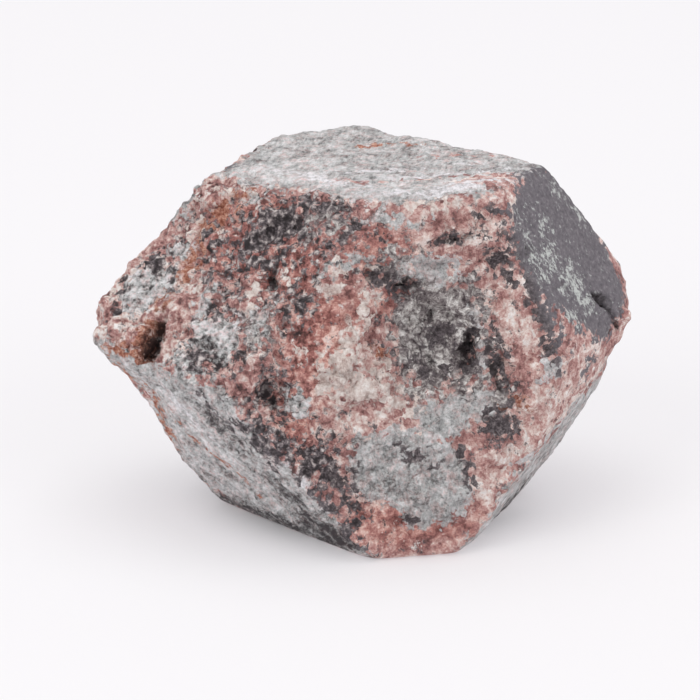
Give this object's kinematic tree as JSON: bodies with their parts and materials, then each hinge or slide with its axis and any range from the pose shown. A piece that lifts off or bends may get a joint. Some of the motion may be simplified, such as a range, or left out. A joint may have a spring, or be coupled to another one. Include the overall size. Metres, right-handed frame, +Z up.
{
  "type": "garnet crystal in rock",
  "caption": "Uneven rhombic dodecahedral garnet crystal with a coat of its mica schist and a rough broken front, lying on one of its faces.",
  "frame": {"origin": "middle of the footprint, level with the face that the crystal rests on", "axes": "+X along the longest extent, to the right of the broken front; +Y from the front to the back; +Z up, square to the resting face, along the shortest extent"},
  "size_m": [0.0596, 0.0454, 0.04],
  "materials": {
    "garnet_rock": "rough"
  },
  "bodies": {
    "root": {"garnet_crystal": "garnet_rock"}
  },
  "joints": []
}
